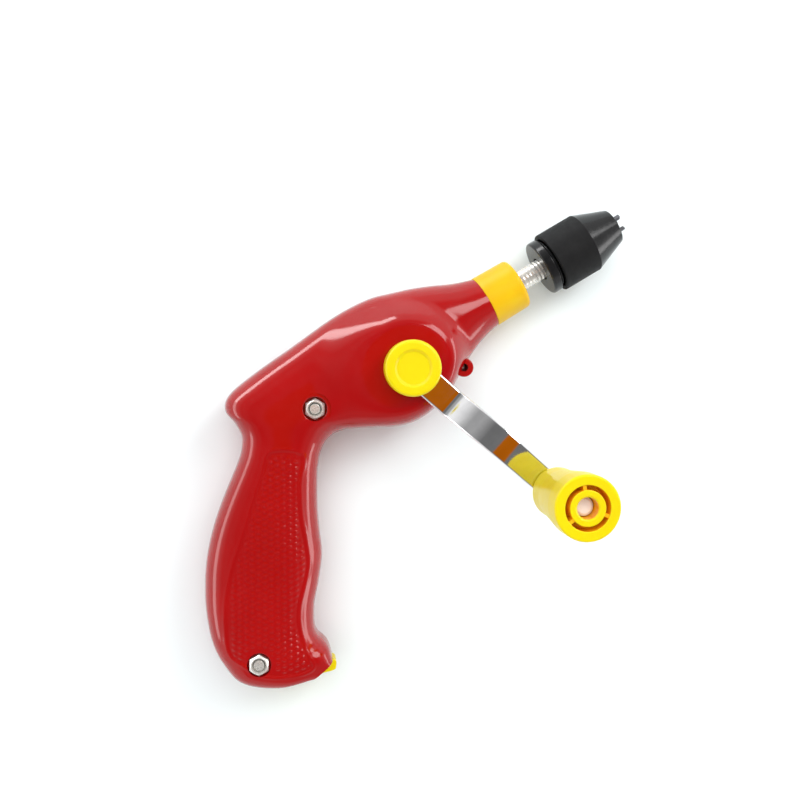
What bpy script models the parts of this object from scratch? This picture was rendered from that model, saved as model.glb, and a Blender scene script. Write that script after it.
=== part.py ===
"""Hand-cranked toy pistol drill, laid on its left side.

Frame: +Z up, towards the crank. +X along the spindle, towards the chuck. +Y towards the top of the drill.
The origin is where the crank axis meets the surface that the left hub boss rests on. The functions below
take millimetres, and each mesh is stored in metres.
"""

import math

import bmesh
import bpy
from mathutils import Matrix, Vector

MM = 0.001
TURN = 2 * math.pi

# Driving dimensions, in millimetres
MID_Z = 17.0  # plane where the two shells part
PART_GAP = 0.15  # half the gap between the shells
WALL = 2.3
CLEAR = 0.3  # between pieces that don't move against each other
RUN = 0.1  # radial clearance of a turning shaft

SPINDLE_Y = 5.6  # height of the spindle axis above the crank axis
SPINDLE_R = 4.0
NOSE_END_X = 39.7
COLLAR_FRONT_X = 54.6
FLANGE_X = 65.1
SLEEVE_X = 70.0
CONE_X = 85.5
CHUCK_FRONT_X = 98.7

MODULE = 0.8
CRANK_TEETH = 30
LAY_TEETH = 12
BEVEL_TEETH = 20
SPINDLE_TEETH = 12
PRESSURE_ANGLE = math.radians(20)
ADDENDUM = 0.75 * MODULE
DEDENDUM = 1.1 * MODULE
BACKLASH = 0.14

CENTRES = MODULE * (CRANK_TEETH + LAY_TEETH) / 2
LAY_X = math.sqrt(CENTRES**2 - SPINDLE_Y**2)
LAY_ANGLE = math.atan2(SPINDLE_Y, LAY_X)
GEAR_Z = (MID_Z + 5.5, MID_Z + 9.0)
BEVEL_FACE = 0.43  # face width over outer cone distance

SHAFT_R = 4.5  # drive shaft
SOCKET = 4.4  # square socket in the drive shaft
STUB = 3.8  # square of the crank's stub
BOSS_TOP_Z = MID_Z + 19.5
BOSS_R = 15.5
BOSS_FOOT_R = 26.0
BOSS_SPREAD = 12.0  # how much farther the foot of the boss reaches towards the rear

REAR_BOLT = (-37.8, 4.6)
BUTT_BOLT = (-104.5, -66.8)
LUG = (18.9, -11.3)
LUG_RIGHT = 8.0  # how far the lug stands up from the parting plane on each side
LUG_LEFT = 5.5
LUG_R = 3.6
BOLT_R = 2.0
NUT_FLATS = 7.0
NUT_HEIGHT = 3.2
NUT_TURN = math.radians(-2)
RECESS_R = 4.45
RECESS_FLOOR = 11.2  # height of the nut's seat above the parting plane

CRANK_RADIUS = 68.0
CRANK_ANGLE = math.radians(-71.6)
ARM_THICK = 2.0
ARM_LOW_Z = 37.7  # underside of the arm at the hub
ARM_RISE = 11.6
ARM_BENDS = (18.7, 47.0)  # where the rise starts and ends, along the arm
ARM_KNEE = 3.0  # length of the tight bend that starts the rise
ARM_TOP_Z = ARM_LOW_Z + ARM_RISE + ARM_THICK  # upper face of the arm at the knob
EYE_R = 10.5
TIP_R = 4.6
CAP_R = 10.3
CAP_Z = (40.0, 46.6)
KNOB_LOW_Z = 52.3
KNOB_TOP_Z = 91.6
KNOB_R = (9.2, 11.1)

DOOR_PIVOT = (-105.4, -74.7)
DOOR_HALF_WIDTH = 7.7
TAB_HALF_WIDTH = 4.5
SLOT_HALF_WIDTH = 8.0

JAW_TILT = math.radians(13)
JAW_TURN = math.radians(-47)  # where the first jaw stands round the spindle, from +Z towards -Y
JAW_WIDTH = 1.6
JAW_LENGTH = 23.0
JAW_TIP_X = 102.0
JAW_TIP_R = 2.9
JAW_NOSE_R = (2.1, 3.5)  # grip face and outer face of the narrow nose
JAW_NOSE_X = 99.2  # where the nose starts

# The body's outline as cross lines: front edge, back edge, half thickness and squareness of each section
STATIONS = [
    ((39.7, -4.5), (39.7, 15.7), 10.1, 2.0),
    ((35.0, -5.4), (32.2, 18.2), 11.2, 2.05),
    ((29.7, -7.0), (24.3, 21.8), 12.5, 2.15),
    ((24.0, -9.4), (17.1, 24.7), 13.5, 2.3),
    ((16.5, -13.2), (9.6, 27.1), 14.2, 2.5),
    ((11.0, -16.1), (2.1, 29.3), 14.7, 2.7),
    ((5.3, -18.2), (-6.4, 30.2), 15.0, 2.8),
    ((-0.5, -19.4), (-15.4, 30.2), 15.0, 3.0),
    ((-6.0, -19.7), (-24.7, 29.4), 15.0, 3.0),
    ((-11.0, -18.9), (-34.2, 28.5), 15.0, 3.0),
    ((-16.0, -16.9), (-43.6, 27.8), 15.0, 3.0),
    ((-21.0, -14.1), (-53.0, 26.9), 15.0, 3.0),
    ((-27.0, -10.9), (-61.0, 25.6), 15.0, 3.0),
    ((-32.0, -8.6), (-65.3, 23.6), 15.0, 2.9),
    ((-36.8, -7.9), (-67.3, 20.0), 15.0, 2.8),
    ((-41.0, -9.0), (-66.5, 15.0), 14.9, 2.8),
    ((-44.3, -11.3), (-66.8, 9.5), 14.8, 2.8),
    ((-47.0, -14.3), (-69.6, 5.0), 14.7, 2.8),
    ((-49.8, -18.1), (-74.0, 1.0), 14.6, 2.8),
    ((-56.0, -28.6), (-86.5, -8.5), 14.5, 2.8),
    ((-60.0, -36.8), (-95.3, -16.3), 14.5, 2.8),
    ((-63.8, -45.0), (-102.6, -24.5), 14.5, 2.8),
    ((-70.2, -53.3), (-108.3, -33.0), 14.5, 2.8),
    ((-76.3, -60.3), (-113.0, -42.0), 14.5, 2.9),
    ((-80.2, -67.0), (-116.5, -52.0), 14.5, 3.0),
    ((-81.0, -71.0), (-117.3, -61.2), 14.5, 3.0),
    ((-80.2, -74.2), (-115.0, -71.0), 14.4, 3.2),
    ((-79.9, -77.2), (-104.4, -79.5), 13.7, 3.6),
    ((-80.9, -81.5), (-92.0, -83.4), 12.2, 4.0),
]
SECTION_STEPS = 10


def fresh_scene():
    for obj in list(bpy.data.objects):
        bpy.data.objects.remove(obj, do_unlink=True)


def new_collection(name, hidden):
    made = bpy.data.collections.new(name)
    bpy.context.scene.collection.children.link(made)
    made.hide_render = hidden
    return made


fresh_scene()
PARTS = new_collection("toy_pistol_drill", hidden=False)
CUTTERS = new_collection("cutters", hidden=True)


def new_material(name, colour, roughness, metallic=0.0):
    made = bpy.data.materials.new(name)
    made.use_nodes = True
    shader = made.node_tree.nodes["Principled BSDF"]
    shader.inputs["Base Color"].default_value = (*colour, 1.0)
    shader.inputs["Roughness"].default_value = roughness
    shader.inputs["Metallic"].default_value = metallic
    made.diffuse_color = (*colour, 1.0)
    return made


RED = new_material("red_gloss_plastic", (0.52, 0.004, 0.006), 0.22)
YELLOW = new_material("yellow_plastic", (0.95, 0.68, 0.01), 0.35)
BLACK = new_material("black_plastic", (0.012, 0.012, 0.013), 0.45)
CHROME = new_material("chrome", (0.85, 0.86, 0.88), 0.08, 1.0)
STEEL = new_material("bright_steel", (0.62, 0.61, 0.6), 0.3, 1.0)
BRASS = new_material("brass", (0.75, 0.55, 0.2), 0.35, 1.0)
WHITE = new_material("white_nylon", (0.8, 0.8, 0.77), 0.5)


# ---- Building blocks: each returns an object whose mesh is in metres ----


def mesh_object(name, bm, material, cutter=False):
    for vert in bm.verts:
        vert.co *= MM
    mesh = bpy.data.meshes.new(name)
    bm.to_mesh(mesh)
    bm.free()
    obj = bpy.data.objects.new(name, mesh)
    if cutter:
        CUTTERS.objects.link(obj)
        obj.hide_render = True
        obj.display_type = "WIRE"
    else:
        PARTS.objects.link(obj)
        mesh.materials.append(material)
    return obj


def aim(obj, place, axis):
    """Puts the object's origin at place, in millimetres, with its local +Z along axis."""
    turn = Vector((0, 0, 1)).rotation_difference(Vector(axis))
    obj.rotation_mode = "QUATERNION"
    obj.rotation_quaternion = turn
    obj.location = Vector(place) * MM
    return obj


def turned(name, profile, place, axis, material=None, steps=32, ring=False):
    """A turned shape from (radius, height) points. They start at the top, and run down the outer side."""
    bm = bmesh.new()
    points = [bm.verts.new((radius, 0, height)) for radius, height in profile]
    for first, second in zip(points, points[1:]):
        bm.edges.new((first, second))
    if ring:
        bm.edges.new((points[-1], points[0]))
    obj = mesh_object(name, bm, material, cutter=material is None)
    screw = obj.modifiers.new("turn", "SCREW")
    screw.axis = "Z"
    screw.angle = TURN
    screw.steps = steps
    screw.render_steps = steps
    screw.use_merge_vertices = True
    screw.merge_threshold = 1e-6
    return aim(obj, place, axis)


def rod(name, radius, low, high, place, axis, material=None, steps=20):
    """A plain cylinder from low to high along the axis through place."""
    profile = [(0, high), (radius, high), (radius, low), (0, low)]
    return turned(name, profile, place, axis, material, steps)


def tube(name, inner, outer, low, high, place, axis, material=None, steps=24):
    profile = [(inner, high), (outer, high), (outer, low), (inner, low)]
    return turned(name, profile, place, axis, material, steps, ring=True)


def prism(name, outline, low, high, material=None, place=(0, 0, 0), axis=(0, 0, 1)):
    """A flat outline, anticlockwise, drawn out from low to high."""
    bm = bmesh.new()
    base = bm.faces.new([bm.verts.new((x, y, low)) for x, y in outline])
    base.normal_flip()
    grown = bmesh.ops.extrude_face_region(bm, geom=[base], use_keep_orig=True)
    for item in grown["geom"]:
        if isinstance(item, bmesh.types.BMVert):
            item.co.z = high
    bmesh.ops.recalc_face_normals(bm, faces=bm.faces)
    obj = mesh_object(name, bm, material, cutter=material is None)
    return aim(obj, place, axis)


def block(name, low, high):
    """A cutter box between two corners."""
    bm = bmesh.new()
    bmesh.ops.create_cube(bm, size=1.0)
    size = Vector(high) - Vector(low)
    centre = (Vector(high) + Vector(low)) / 2
    for vert in bm.verts:
        vert.co = Vector([vert.co[i] * size[i] for i in range(3)]) + centre
    return mesh_object(name, bm, None, cutter=True)


def combine(obj, others, operation, solver="EXACT"):
    for other in others:
        step = obj.modifiers.new(other.name, "BOOLEAN")
        step.operation = operation
        step.solver = solver
        step.object = other


def circle(radius, count, start=0.0, centre=(0, 0)):
    return [
        (
            centre[0] + radius * math.cos(start + TURN * i / count),
            centre[1] + radius * math.sin(start + TURN * i / count),
        )
        for i in range(count)
    ]


def square(side, turn=0.0):
    return circle(side / math.sqrt(2), 4, math.pi / 4 + turn)


# ---- Gears ----


def involute(angle):
    return math.tan(angle) - angle


def tooth_flank(pitch_r, teeth, steps=2):
    """(radius, half angle) along one flank, from root to tip. teeth may be a fraction, for a bevel gear."""
    base_r = pitch_r * math.cos(PRESSURE_ANGLE)
    tip_r = pitch_r + ADDENDUM
    root_r = pitch_r - DEDENDUM
    half = math.pi / (2 * teeth) - BACKLASH / (2 * pitch_r)
    start_r = max(base_r, root_r + 0.05)
    flank = []
    for i in range(steps + 1):
        radius = start_r + (tip_r - start_r) * i / steps
        pressure = math.acos(min(1.0, base_r / radius))
        flank.append((radius, half + involute(PRESSURE_ANGLE) - involute(pressure)))
    return [(root_r, flank[0][1])] + flank


def gear_points(teeth, flank, turn):
    """(radius, angle) all the way round, with one tooth centred on turn."""
    points = []
    for tooth in range(teeth):
        middle = turn + TURN * tooth / teeth
        points += [(radius, middle - half) for radius, half in flank]
        points += [(radius, middle + half) for radius, half in reversed(flank)]
    return points


def spur_gear(name, teeth, low, high, place, turn, bore_r, material):
    pitch_r = MODULE * teeth / 2
    points = gear_points(teeth, tooth_flank(pitch_r, teeth), turn)
    outline = [(r * math.cos(a), r * math.sin(a)) for r, a in points]
    gear = prism(name, outline, low, high, material, place=(*place, 0))
    bore = rod(name + "_bore", bore_r, low - 1, high + 1, (*place, 0), (0, 0, 1))
    combine(gear, [bore], "DIFFERENCE")
    return gear


def bevel_gear(name, teeth, mate_teeth, turn, hub_r, hub_length, bore_r, place, axis, material):
    """A straight bevel gear. Its local +Z runs from the apex, at place, out through its back."""
    pitch_r = MODULE * teeth / 2
    cone = math.atan2(teeth, mate_teeth)
    apex_to_back = MODULE * mate_teeth / 2
    flat_r = pitch_r / math.cos(cone)
    flank = [
        (radius, half / math.cos(cone))
        for radius, half in tooth_flank(flat_r, teeth / math.cos(cone))
    ]
    points = gear_points(teeth, flank, turn)
    big = [
        Vector((r * math.cos(cone) * math.cos(a), r * math.cos(cone) * math.sin(a),
                apex_to_back - (r - flat_r) * math.sin(cone)))
        for r, a in points
    ]
    bm = bmesh.new()
    outer = [bm.verts.new(point) for point in big]
    inner = [bm.verts.new(point * (1 - BEVEL_FACE)) for point in big]
    count = len(outer)
    for i in range(count):
        j = (i + 1) % count
        bm.faces.new((outer[i], outer[j], inner[j], inner[i]))
    front = bm.verts.new((0, 0, apex_to_back * (1 - BEVEL_FACE)))
    back = bm.verts.new((0, 0, apex_to_back + 0.4))
    for i in range(count):
        j = (i + 1) % count
        bm.faces.new((inner[i], inner[j], front))
        bm.faces.new((outer[j], outer[i], back))
    bmesh.ops.recalc_face_normals(bm, faces=bm.faces)
    gear = mesh_object(name, bm, material)
    aim(gear, place, axis)
    hub_low = apex_to_back - 0.8
    hub = rod(name + "_hub", hub_r, hub_low, hub_low + hub_length, place, axis)
    bore = rod(name + "_bore", bore_r, -1, hub_low + hub_length + 1, place, axis)
    combine(gear, [hub], "UNION")
    combine(gear, [bore], "DIFFERENCE")
    return gear


# ---- Shells ----


def smoothed(part):
    part = min(max(part, 0.0), 1.0)
    return part * part * (3 - 2 * part)


def raised(x, y):
    """How much of the hub boss's height the surface has here, from 0 to 1."""
    away = math.hypot(x, y)
    foot = BOSS_FOOT_R + BOSS_SPREAD * max(-x, 0) / max(away, BOSS_R)
    return smoothed((foot - away) / (foot - BOSS_R))


def half_skin(name, side, boss_height, material):
    """One shell's open outer surface. It runs past the parting plane, where it is trimmed afterwards."""
    bm = bmesh.new()
    rows = []
    for front, back, thick, squareness in STATIONS:
        front, back = Vector(front), Vector(back)
        row = []
        for step in range(SECTION_STEPS + 1):
            angle = math.pi * step / SECTION_STEPS
            across = math.cos(angle)
            spot = (front + back) / 2 - (back - front) / 2 * math.copysign(
                abs(across) ** (2 / squareness), across
            )
            height = thick * abs(math.sin(angle)) ** (2 / squareness)
            level = raised(*spot) * smoothed(height / thick)
            height = height * (1 - level) + boss_height * level
            row.append(bm.verts.new((spot.x, spot.y, MID_Z + side * height)))
        below = MID_Z - side * 1.5
        row.insert(0, bm.verts.new((front.x, front.y, below)))
        row.append(bm.verts.new((back.x, back.y, below)))
        rows.append(row)
    for low, high in zip(rows, rows[1:]):
        for i in range(len(low) - 1):
            bm.faces.new((low[i], low[i + 1], high[i + 1], high[i]))
    bm.faces.new(rows[-1])
    bmesh.ops.recalc_face_normals(bm, faces=bm.faces)
    facing = sum(face.normal.z * face.calc_area() for face in bm.faces)
    if facing * side < 0:
        bmesh.ops.reverse_faces(bm, faces=bm.faces)
    shell = mesh_object(name, bm, material)
    wall = shell.modifiers.new("wall", "SOLIDIFY")
    wall.thickness = WALL * MM
    wall.offset = -1
    wall.use_even_offset = True
    return shell


def column(name, spot, radius, low, high, side, steps=16):
    """A cutter or boss along Z, between two heights measured from the parting plane."""
    ends = sorted((MID_Z + side * low, MID_Z + side * high))
    return rod(name, radius, ends[0], ends[1], (*spot, 0), (0, 0, 1), steps=steps)


def door_slot(name):
    outline = [
        (-111.4, -77.5), (-115.0, -90.0), (-77.0, -90.0), (-77.0, -80.6), (-81.8, -80.5),
        (-86.0, -80.4), (-93.0, -79.9), (-98.8, -78.2), (-102.6, -76.3), (-103.0, -74.0),
        (-104.2, -72.4), (-106.0, -72.2), (-107.9, -73.0), (-108.9, -74.4),
    ]
    return prism(name, outline, MID_Z - SLOT_HALF_WIDTH, MID_Z + SLOT_HALF_WIDTH)


def make_shell(name, side, boss_height):
    shell = half_skin(name, side, boss_height, RED)
    nose = (0, SPINDLE_Y, MID_Z)
    along = (1, 0, 0)
    lay = (LAY_X, SPINDLE_Y)
    joined = [
        tube(name + "_spigot", 6.5, 8.5, 36.0, 52.0, nose, along),
        tube(name + "_nose_ring", 7.0, 9.3, 35.0, 39.2, nose, along),
        tube(name + "_bush_web", 6.3, 11.8, 27.0, 30.0, nose, along),
        column(name + "_rear_post", REAR_BOLT, 6.0, -1.0, 13.6, side),
        column(name + "_butt_post", BUTT_BOLT, 6.0, -1.0, 13.2, side),
        column(name + "_lug", LUG, LUG_R, -1.0, LUG_RIGHT if side > 0 else LUG_LEFT, side),
        column(name + "_lay_post", lay, 3.8, 9.4, boss_height - 3.0, side),
        column(name + "_pivot_post", DOOR_PIVOT, 2.2, 8.3, 11.0, side),
        column(name + "_hub_post", (0, 0), 8.5, 9.6, boss_height - 1.0, side, steps=24),
    ]
    combine(shell, joined, "UNION", "MANIFOLD")
    past = 60.0
    other_side = sorted((MID_Z + side * PART_GAP, MID_Z - side * past))
    removed = [
        block(name + "_parting", (-150, -120, other_side[0]), (80, 60, other_side[1])),
        door_slot(name + "_slot"),
        column(name + "_rear_hole", REAR_BOLT, 2.3, -2.0, 20.0, side),
        column(name + "_butt_hole", BUTT_BOLT, 2.3, -2.0, 20.0, side),
        column(name + "_lay_hole", lay, 2.0 + RUN, 9.0, 12.0, side),
        column(name + "_pivot_hole", DOOR_PIVOT, 1.3, 8.0, 10.7, side),
    ]
    if side > 0:
        removed += [
            column(name + "_rear_recess", REAR_BOLT, RECESS_R, RECESS_FLOOR, 20.0, side),
            column(name + "_butt_recess", BUTT_BOLT, RECESS_R, RECESS_FLOOR, 20.0, side),
            column(name + "_lug_hole", LUG, 1.5, -2.0, LUG_RIGHT + 2.0, side),
            column(name + "_hub_bore", (0, 0), 6.3, 8.0, 25.0, side, steps=24),
        ]
    else:
        removed += [
            column(name + "_rear_recess", REAR_BOLT, RECESS_R, 13.6, 20.0, side),
            column(name + "_butt_recess", BUTT_BOLT, RECESS_R, 13.6, 20.0, side),
            column(name + "_lug_hole", LUG, 1.9, -2.0, 8.0, side),
            column(name + "_lug_seat", LUG, 2.6, 4.0, 8.0, side),
            column(name + "_hub_bore", (0, 0), 6.3, 8.0, 14.2, side, steps=24),
        ]
    combine(shell, removed, "DIFFERENCE", "MANIFOLD")
    return shell


def make_collar():
    profile = [
        (5.4, COLLAR_FRONT_X), (8.2, COLLAR_FRONT_X), (9.4, COLLAR_FRONT_X - 0.5),
        (9.9, COLLAR_FRONT_X - 1.6), (10.3, NOSE_END_X), (8.8, NOSE_END_X),
        (8.8, COLLAR_FRONT_X - 1.8), (5.4, COLLAR_FRONT_X - 1.8),
    ]
    return turned("nose_collar", profile, (0, SPINDLE_Y, MID_Z), (1, 0, 0), YELLOW, 28, ring=True)


def make_storage_door():
    outline = [
        (-107.1, -75.9), (-105.6, -77.6), (-103.9, -79.0), (-99.0, -80.9), (-93.1, -82.4),
        (-88.0, -83.2), (-83.8, -83.3), (-82.6, -82.6), (-82.5, -81.2), (-86.0, -80.8),
        (-93.1, -80.3), (-99.0, -78.6), (-103.2, -76.6), (-103.6, -74.6), (-104.4, -73.1),
        (-105.6, -72.7), (-106.8, -73.2), (-107.4, -74.5),
    ]
    low, high = MID_Z - DOOR_HALF_WIDTH, MID_Z + DOOR_HALF_WIDTH
    shifted = [(x - DOOR_PIVOT[0], y - DOOR_PIVOT[1]) for x, y in outline]
    door = prism("storage_door", shifted, low, high, YELLOW, place=(*DOOR_PIVOT, 0))
    tab_outline = [
        (-90.0, -82.2), (-89.4, -83.8), (-85.8, -85.2), (-82.7, -86.0), (-81.6, -85.3),
        (-80.5, -83.4), (-81.8, -81.8), (-86.0, -81.6),
    ]
    tab = prism("storage_door_tab", tab_outline, MID_Z - TAB_HALF_WIDTH, MID_Z + TAB_HALF_WIDTH)
    pin = rod("storage_door_pin", 1.15, MID_Z - 10.6, MID_Z + 10.6, (*DOOR_PIVOT, 0), (0, 0, 1))
    combine(door, [tab, pin], "UNION")
    return door


# ---- Fasteners ----


def make_bolt(name, spot):
    """A pan-head bolt. Its head is on the left shell and stands on the rest plane."""
    head_top = MID_Z - 13.6 - CLEAR
    tip = MID_Z + RECESS_FLOOR + CLEAR + NUT_HEIGHT - 0.5
    profile = [
        (0, tip), (1.7, tip), (BOLT_R, tip - 0.3), (BOLT_R, head_top), (3.9, head_top),
        (3.9, 1.1), (3.2, 0.0), (0, 0.0),
    ]
    bolt = turned(name, profile, (*spot, 0), (0, 0, 1), STEEL, 16)
    slot = prism(name + "_slot", square(1.0), -1.0, 1.0, place=(*spot, 0))
    slot.scale = (8.0, 0.8, 1.0)
    combine(bolt, [slot], "DIFFERENCE")
    return bolt


def make_nut(name, spot):
    low = MID_Z + RECESS_FLOOR + CLEAR
    outline = circle(NUT_FLATS / math.sqrt(3), 6, NUT_TURN)
    nut = prism(name, outline, low, low + NUT_HEIGHT, STEEL, place=(*spot, 0))
    bore = rod(name + "_bore", BOLT_R + CLEAR, low - 1, low + NUT_HEIGHT + 1, (*spot, 0), (0, 0, 1))
    combine(nut, [bore], "DIFFERENCE")
    return nut


def make_lug_screw():
    profile = [
        (0, MID_Z + 4.6), (0.4, MID_Z + 4.6), (1.2, MID_Z + 3.0), (1.2, MID_Z - 3.4),
        (2.3, MID_Z - 4.4), (2.3, MID_Z - 5.6), (0, MID_Z - 5.6),
    ]
    return turned("lug_screw", profile, (*LUG, 0), (0, 0, 1), STEEL, 16)


# ---- Drive ----


def make_drive_shaft():
    low, high = MID_Z - 13.8, BOSS_TOP_Z
    shaft = rod("drive_shaft", SHAFT_R, low, high, (0, 0, 0), (0, 0, 1), STEEL, 24)
    socket = prism("drive_shaft_socket", square(SOCKET, CRANK_ANGLE), 24.0, high + 1)
    combine(shaft, [socket], "DIFFERENCE")
    return shaft


def make_gears():
    lay = (LAY_X, SPINDLE_Y)
    apex = (LAY_X, SPINDLE_Y, MID_Z)
    spur_gear("crank_gear", CRANK_TEETH, *GEAR_Z, (0, 0), LAY_ANGLE, SHAFT_R + CLEAR, WHITE)
    half_pitch = math.pi / LAY_TEETH
    facing_back = LAY_ANGLE + math.pi + half_pitch
    spur_gear("lay_pinion", LAY_TEETH, *GEAR_Z, lay, facing_back, 2.0 + CLEAR, BRASS)
    bevel_gear(
        "lay_bevel_gear", BEVEL_TEETH, SPINDLE_TEETH, 0.0, 4.0, 3.4, 2.0 + CLEAR, apex, (0, 0, -1), BRASS
    )
    bevel_gear(
        "spindle_pinion", SPINDLE_TEETH, BEVEL_TEETH, math.pi / SPINDLE_TEETH, 3.4, 2.0, 2.2 + CLEAR,
        apex, (1, 0, 0), BRASS,
    )


def make_layshaft():
    return rod("layshaft", 2.0, MID_Z - 11.7, MID_Z + 11.7, (LAY_X, SPINDLE_Y, 0), (0, 0, 1), STEEL, 20)


def make_bushes():
    crank = (0, 0, 0)
    axis = (0, 0, 1)
    inner = SHAFT_R + RUN
    tube("shaft_bush_right", inner, 6.0, MID_Z + 10.0, BOSS_TOP_Z - 0.2, crank, axis, WHITE)
    tube("shaft_bush_left", inner, 6.0, MID_Z - 13.9, MID_Z - 9.3, crank, axis, WHITE)
    nose = (0, SPINDLE_Y, MID_Z)
    along = (1, 0, 0)
    inner = SPINDLE_R + RUN
    tube("rear_spindle_bush", inner, 6.0, 26.4, 30.8, nose, along, BRASS)
    tube("front_spindle_bush", inner, 6.2, 42.0, 52.0, nose, along, BRASS)
    tube("thrust_washer", 2.2 + CLEAR, 5.6, 25.3, 25.9, nose, along, STEEL)
    tube("spindle_circlip", 3.5 + CLEAR, 5.4, 31.4, 32.2, nose, along, STEEL)


def make_spindle():
    """The spindle, with a seat for the pinion, a circlip groove and thread ridges where it shows."""
    profile = [(0, 71.5), (3.4, 71.5), (SPINDLE_R, 70.9)]
    pitch = 2.5
    ridge = 69.9
    while ridge > 53.0:
        profile += [(SPINDLE_R, ridge), (3.45, ridge - pitch / 2), (SPINDLE_R, ridge - pitch)]
        ridge -= pitch
    profile += [
        (SPINDLE_R, 32.4), (3.5, 32.4), (3.5, 31.2), (SPINDLE_R, 31.2), (SPINDLE_R, 26.2),
        (2.2, 26.2), (2.2, 20.3), (0, 20.3),
    ]
    return turned("spindle", profile, (0, SPINDLE_Y, MID_Z), (1, 0, 0), STEEL, 16)


# ---- Chuck ----


def jaw_frame(index):
    """The place and turn of one jaw: its local +X is forward and inward, and its tip is the origin."""
    spin = Matrix.Rotation(JAW_TURN + TURN * index / 3, 4, "X")
    lean = Matrix.Rotation(JAW_TILT, 4, "Y")
    centre = Matrix.Translation(Vector((0, SPINDLE_Y, MID_Z)) * MM)
    tip = Matrix.Translation(Vector((JAW_TIP_X, 0, JAW_TIP_R)) * MM)
    return centre @ spin @ tip @ lean


def jaw_bar(name, width, below, above, back, front, index, material=None):
    bm = bmesh.new()
    bmesh.ops.create_cube(bm, size=1.0)
    for vert in bm.verts:
        vert.co.x = back if vert.co.x < 0 else front
        vert.co.y *= width
        vert.co.z = below if vert.co.z < 0 else above
    bar = mesh_object(name, bm, material, cutter=material is None)
    bar.matrix_world = jaw_frame(index)
    return bar


def nose_cut(name, index, back_x, inner_r, outer_r):
    """A cutter parallel to the spindle, between two radii in a jaw's direction."""
    cutter = block(name, (back_x, -10, inner_r), (120, 10, outer_r))
    cutter.matrix_world = (
        Matrix.Translation(Vector((0, SPINDLE_Y, MID_Z)) * MM)
        @ Matrix.Rotation(JAW_TURN + TURN * index / 3, 4, "X")
    )
    return cutter


def make_jaw(index):
    """A square bar along its slanted slide, with a deeper front end and a narrow nose."""
    half = JAW_WIDTH / 2
    name = f"jaw_{index + 1}"
    jaw = jaw_bar(name, JAW_WIDTH, -half - 1.4, half, -JAW_LENGTH, 0.0, index, STEEL)
    grip_r, outer_r = JAW_NOSE_R
    cuts = [
        jaw_bar(name + "_heel", 6.0, -10.0, -half, -40.0, -9.0, index),
        nose_cut(name + "_grip", index, 60.0, grip_r - 8.0, grip_r),
        nose_cut(name + "_relief", index, JAW_NOSE_X, outer_r, outer_r + 8.0),
    ]
    combine(jaw, cuts, "DIFFERENCE")
    return jaw


def make_chuck():
    nose = (0, SPINDLE_Y, MID_Z)
    along = (1, 0, 0)
    body_profile = [
        (2.6, 97.3), (4.9, 97.3), (7.0, 88.0), (7.0, 69.4), (10.2, 69.4), (10.9, 68.6),
        (10.9, 65.9), (10.1, FLANGE_X), (SPINDLE_R + CLEAR, FLANGE_X), (SPINDLE_R + CLEAR, 72.0),
        (2.6, 73.0),
    ]
    body = turned("chuck_body", body_profile, nose, along, BLACK, 30, ring=True)
    half = JAW_WIDTH / 2
    slots = [
        jaw_bar(f"chuck_slot_{i}", JAW_WIDTH + 2 * CLEAR, -half - 1.9, half + 6, -27.6, 6.0, i)
        for i in range(3)
    ]
    combine(body, slots, "DIFFERENCE")
    tube("chuck_nut", 8.7, 9.9, 81.5, 85.2, nose, along, BRASS, 24)
    sleeve_profile = [
        (5.5, CHUCK_FRONT_X), (6.4, CHUCK_FRONT_X), (6.9, CHUCK_FRONT_X - 0.5), (12.0, CONE_X),
        (12.0, SLEEVE_X + 0.5), (11.5, SLEEVE_X), (10.2, SLEEVE_X), (10.2, CONE_X + 0.2),
        (8.6, 90.3),
    ]
    turned("chuck_sleeve", sleeve_profile, nose, along, BLACK, 32, ring=True)
    for index in range(3):
        make_jaw(index)


# ---- Crank ----


def crank_place():
    return (CRANK_RADIUS * math.cos(CRANK_ANGLE), CRANK_RADIUS * math.sin(CRANK_ANGLE))


def arm_lift(along):
    """Height of the arm above its hub end. It bends up tightly, and then levels out towards the knob."""
    start, end = ARM_BENDS
    steepest = 2 * ARM_RISE / (end - start)
    run = min(max(along, start), end) - start
    easing = end - start - ARM_KNEE
    if run < ARM_KNEE:
        return steepest * run**2 / (2 * ARM_KNEE)
    left = end - start - run
    return steepest * (ARM_KNEE + easing - left**2 / easing) / 2


def arm_half_width(along):
    """Half width: round at both eyes, and a straight taper between them."""
    if along < 0:
        return math.sqrt(max(EYE_R**2 - along**2, 0.0))
    neck = 5.6 - 0.8 * along / CRANK_RADIUS
    round_hub = math.sqrt(max(EYE_R**2 - along**2, 0.0))
    if along > CRANK_RADIUS:
        return math.sqrt(max(TIP_R**2 - (along - CRANK_RADIUS) ** 2, 0.0))
    return max(round_hub, neck)


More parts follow.
